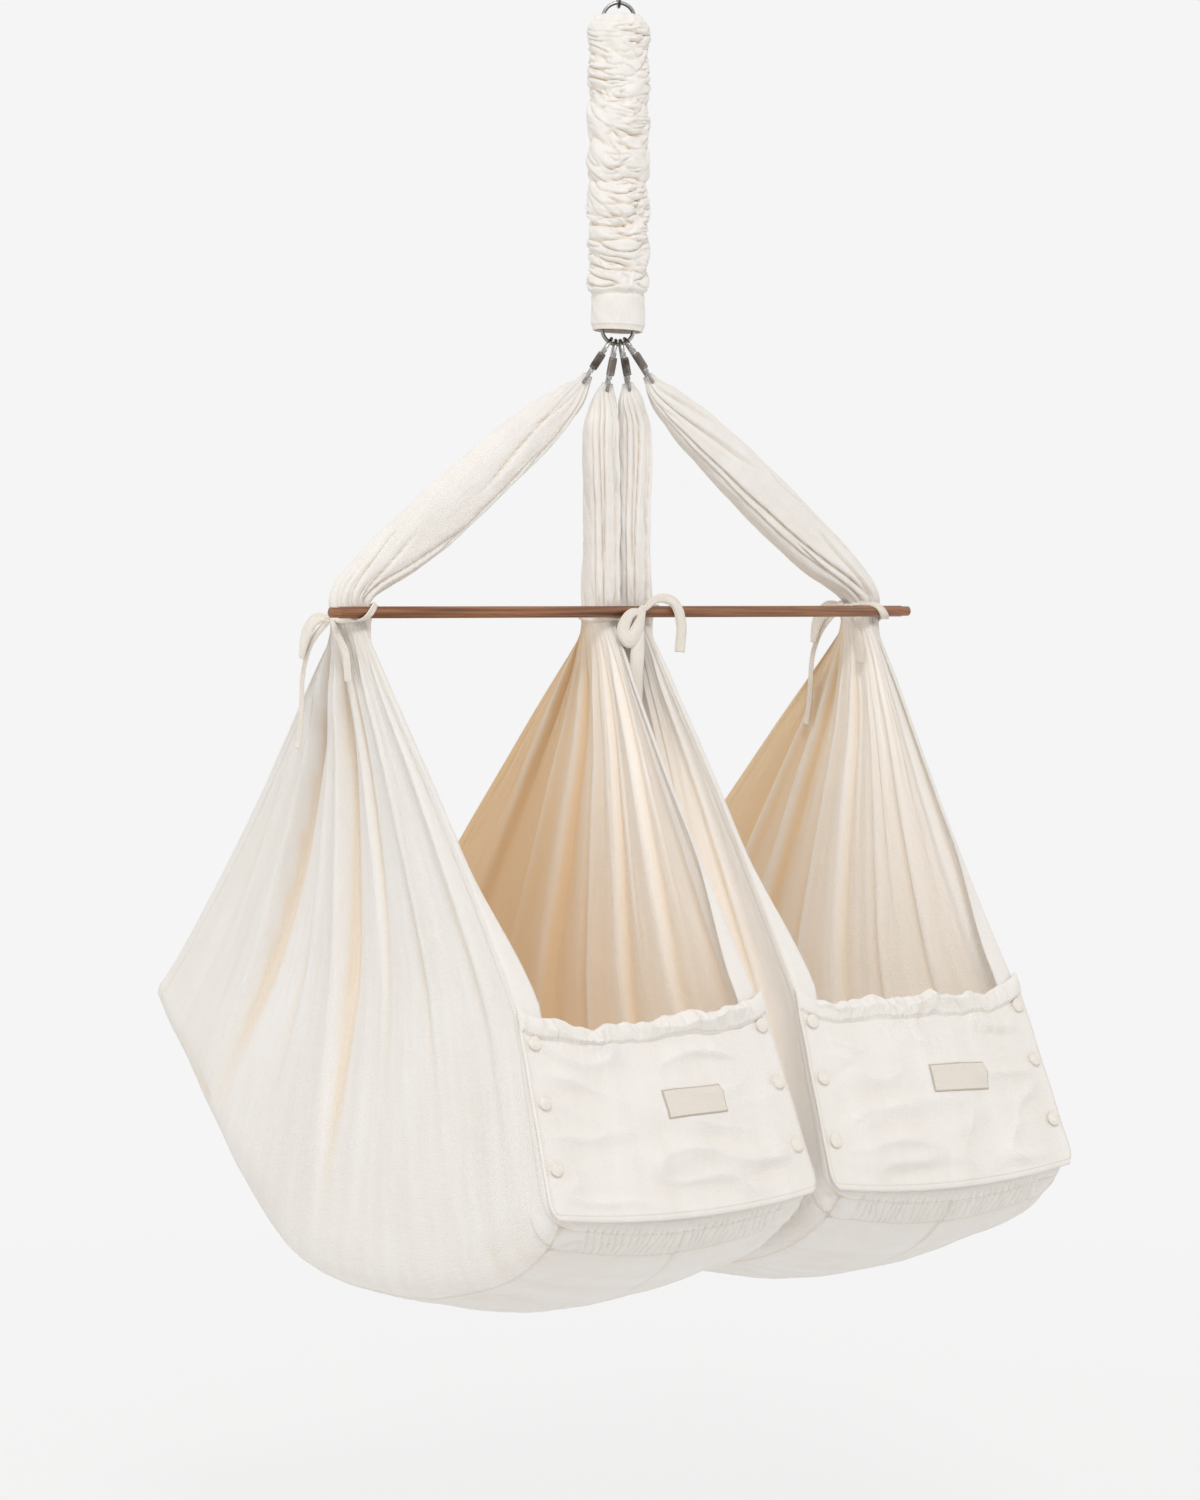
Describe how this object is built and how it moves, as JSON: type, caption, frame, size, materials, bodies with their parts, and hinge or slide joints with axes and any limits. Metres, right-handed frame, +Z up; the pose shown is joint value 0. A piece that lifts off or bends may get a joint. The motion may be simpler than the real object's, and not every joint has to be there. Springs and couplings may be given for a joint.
{
  "type": "twin hanging baby cradle",
  "caption": "Twin cotton baby slings side by side on one wooden spreader bar, hung by screw-lock carabiners from a coil spring in a gathered sleeve.",
  "frame": {"origin": "the bearing point inside the upper bow of the top carabiner, where a ceiling hook carries the cradle", "axes": "+X along the spreader bar to the right-hand sling, -Y to the front panels, +Z up"},
  "size_m": [0.8, 0.8741, 1.5171],
  "materials": {
    "cotton_canvas": "matte",
    "label_cloth": "matte",
    "mattress_cloth": "matte",
    "stud_plastic": "satin",
    "steel": "satin",
    "walnut": "satin"
  },
  "bodies": {
    "top_hanger": {"top_carabiner_body": "steel", "top_carabiner_hinge_pin": "steel"},
    "sleeve_hanger": {"spring_sleeve": "cotton_canvas"},
    "coil_spring": {"spring": "steel"},
    "twin_cradle": {"left_outer_carabiner_body": "steel", "left_outer_carabiner_hinge_pin": "steel", "left_inner_carabiner_body": "steel", "left_inner_carabiner_hinge_pin": "steel", "right_inner_carabiner_body": "steel", "right_inner_carabiner_hinge_pin": "steel", "right_outer_carabiner_body": "steel", "right_outer_carabiner_hinge_pin": "steel", "left_outer_strap": "cotton_canvas", "left_inner_strap": "cotton_canvas", "right_inner_strap": "cotton_canvas", "right_outer_strap": "cotton_canvas", "spreader_bar": "walnut", "left_tie": "cotton_canvas", "middle_tie": "cotton_canvas", "right_tie": "cotton_canvas", "left_sling_outer_wall": "cotton_canvas", "left_sling_floor": "cotton_canvas", "left_sling_inner_wall": "cotton_canvas", "right_sling_outer_wall": "cotton_canvas", "right_sling_floor": "cotton_canvas", "right_sling_inner_wall": "cotton_canvas"},
    "top_carabiner_gate_lever": {"top_carabiner_gate": "steel"},
    "top_carabiner_screw_lock": {"top_carabiner_lock_sleeve": "steel"},
    "left_outer_carabiner_gate_lever": {"left_outer_carabiner_gate": "steel"},
    "left_outer_carabiner_screw_lock": {"left_outer_carabiner_lock_sleeve": "steel"},
    "left_inner_carabiner_gate_lever": {"left_inner_carabiner_gate": "steel"},
    "left_inner_carabiner_screw_lock": {"left_inner_carabiner_lock_sleeve": "steel"},
    "right_inner_carabiner_gate_lever": {"right_inner_carabiner_gate": "steel"},
    "right_inner_carabiner_screw_lock": {"right_inner_carabiner_lock_sleeve": "steel"},
    "right_outer_carabiner_gate_lever": {"right_outer_carabiner_gate": "steel"},
    "right_outer_carabiner_screw_lock": {"right_outer_carabiner_lock_sleeve": "steel"},
    "left_front_flap": {"left_front_panel": "cotton_canvas", "left_blank_label": "label_cloth", "left_left_stud_1": "stud_plastic", "left_left_stud_2": "stud_plastic", "left_left_stud_3": "stud_plastic", "left_right_stud_1": "stud_plastic", "left_right_stud_2": "stud_plastic", "left_right_stud_3": "stud_plastic"},
    "left_mattress_pad": {"left_mattress": "mattress_cloth"},
    "right_front_flap": {"right_front_panel": "cotton_canvas", "right_blank_label": "label_cloth", "right_left_stud_1": "stud_plastic", "right_left_stud_2": "stud_plastic", "right_left_stud_3": "stud_plastic", "right_right_stud_1": "stud_plastic", "right_right_stud_2": "stud_plastic", "right_right_stud_3": "stud_plastic"},
    "right_mattress_pad": {"right_mattress": "mattress_cloth"}
  },
  "joints": [
    {"name": "side_swing", "type": "hinge", "parent": "top_hanger", "child": "sleeve_hanger", "pos_m": [0, 0, -0.058], "axis": [0.5, 0.866, 0], "range_deg": [-25, 25]},
    {"name": "spring_bounce", "type": "slide", "parent": "sleeve_hanger", "child": "coil_spring", "axis": [0, 0, -1], "range_m": [-0.08, 0.16], "stiffness_N_per_m": 520, "springref_m": -0.13443, "deforming": ["spring", "spring_sleeve"]},
    {"name": "front_tilt", "type": "hinge", "parent": "coil_spring", "child": "twin_cradle", "pos_m": [0, 0, -0.43845], "axis": [0.866, -0.5, 0], "range_deg": [-20, 20]},
    {"name": "top_carabiner_gate_hinge", "type": "hinge", "parent": "top_hanger", "child": "top_carabiner_gate_lever", "pos_m": [-0.0065, -0.01126, -0.01498], "axis": [0.866, -0.5, 0], "range_deg": [0, 26], "stiffness_Nm_per_rad": 0.02, "springref_deg": -20.05},
    {"name": "top_carabiner_lock_slide", "type": "slide", "parent": "top_carabiner_gate_lever", "child": "top_carabiner_screw_lock", "axis": [0, 0, -1], "range_m": [0, 0.007]},
    {"name": "left_outer_carabiner_gate_hinge", "type": "hinge", "parent": "twin_cradle", "child": "left_outer_carabiner_gate_lever", "pos_m": [-0.02085, -0.00297, -0.44597], "axis": [0.7263, -0.4193, -0.5446], "range_deg": [0, 26], "stiffness_Nm_per_rad": 0.02, "springref_deg": -20.05},
    {"name": "left_outer_carabiner_lock_slide", "type": "slide", "parent": "left_outer_carabiner_gate_lever", "child": "left_outer_carabiner_screw_lock", "axis": [-0.4717, 0.2723, -0.8387], "range_m": [0, 0.007]},
    {"name": "left_inner_carabiner_gate_hinge", "type": "hinge", "parent": "twin_cradle", "child": "left_inner_carabiner_gate_lever", "pos_m": [-0.0113, -0.00849, -0.45037], "axis": [0.8515, -0.4916, -0.1822], "range_deg": [0, 26], "stiffness_Nm_per_rad": 0.02, "springref_deg": -20.05},
    {"name": "left_inner_carabiner_lock_slide", "type": "slide", "parent": "left_inner_carabiner_gate_lever", "child": "left_inner_carabiner_screw_lock", "axis": [-0.1578, 0.0911, -0.9833], "range_m": [0, 0.007]},
    {"name": "right_inner_carabiner_gate_hinge", "type": "hinge", "parent": "twin_cradle", "child": "right_inner_carabiner_gate_lever", "pos_m": [-0.0017, -0.01403, -0.45037], "axis": [0.8515, -0.4916, 0.1822], "range_deg": [0, 26], "stiffness_Nm_per_rad": 0.02, "springref_deg": -20.05},
    {"name": "right_inner_carabiner_lock_slide", "type": "slide", "parent": "right_inner_carabiner_gate_lever", "child": "right_inner_carabiner_screw_lock", "axis": [0.1578, -0.0911, -0.9833], "range_m": [0, 0.007]},
    {"name": "right_outer_carabiner_gate_hinge", "type": "hinge", "parent": "twin_cradle", "child": "right_outer_carabiner_gate_lever", "pos_m": [0.00785, -0.01954, -0.44597], "axis": [0.7263, -0.4193, 0.5446], "range_deg": [0, 26], "stiffness_Nm_per_rad": 0.02, "springref_deg": -20.05},
    {"name": "right_outer_carabiner_lock_slide", "type": "slide", "parent": "right_outer_carabiner_gate_lever", "child": "right_outer_carabiner_screw_lock", "axis": [0.4717, -0.2723, -0.8387], "range_m": [0, 0.007]},
    {"name": "left_panel_fold", "type": "hinge", "parent": "twin_cradle", "child": "left_front_flap", "pos_m": [-0.181, -0.3912, -1.3664], "axis": [1, 0, 0], "range_deg": [0, 155]},
    {"name": "left_mattress_lift", "type": "slide", "parent": "twin_cradle", "child": "left_mattress_pad", "axis": [0, 0.4, 0.9165], "range_m": [0, 0.3]},
    {"name": "right_panel_fold", "type": "hinge", "parent": "twin_cradle", "child": "right_front_flap", "pos_m": [0.181, -0.3912, -1.3664], "axis": [1, 0, 0], "range_deg": [0, 155]},
    {"name": "right_mattress_lift", "type": "slide", "parent": "twin_cradle", "child": "right_mattress_pad", "axis": [0, 0.4, 0.9165], "range_m": [0, 0.3]}
  ]
}
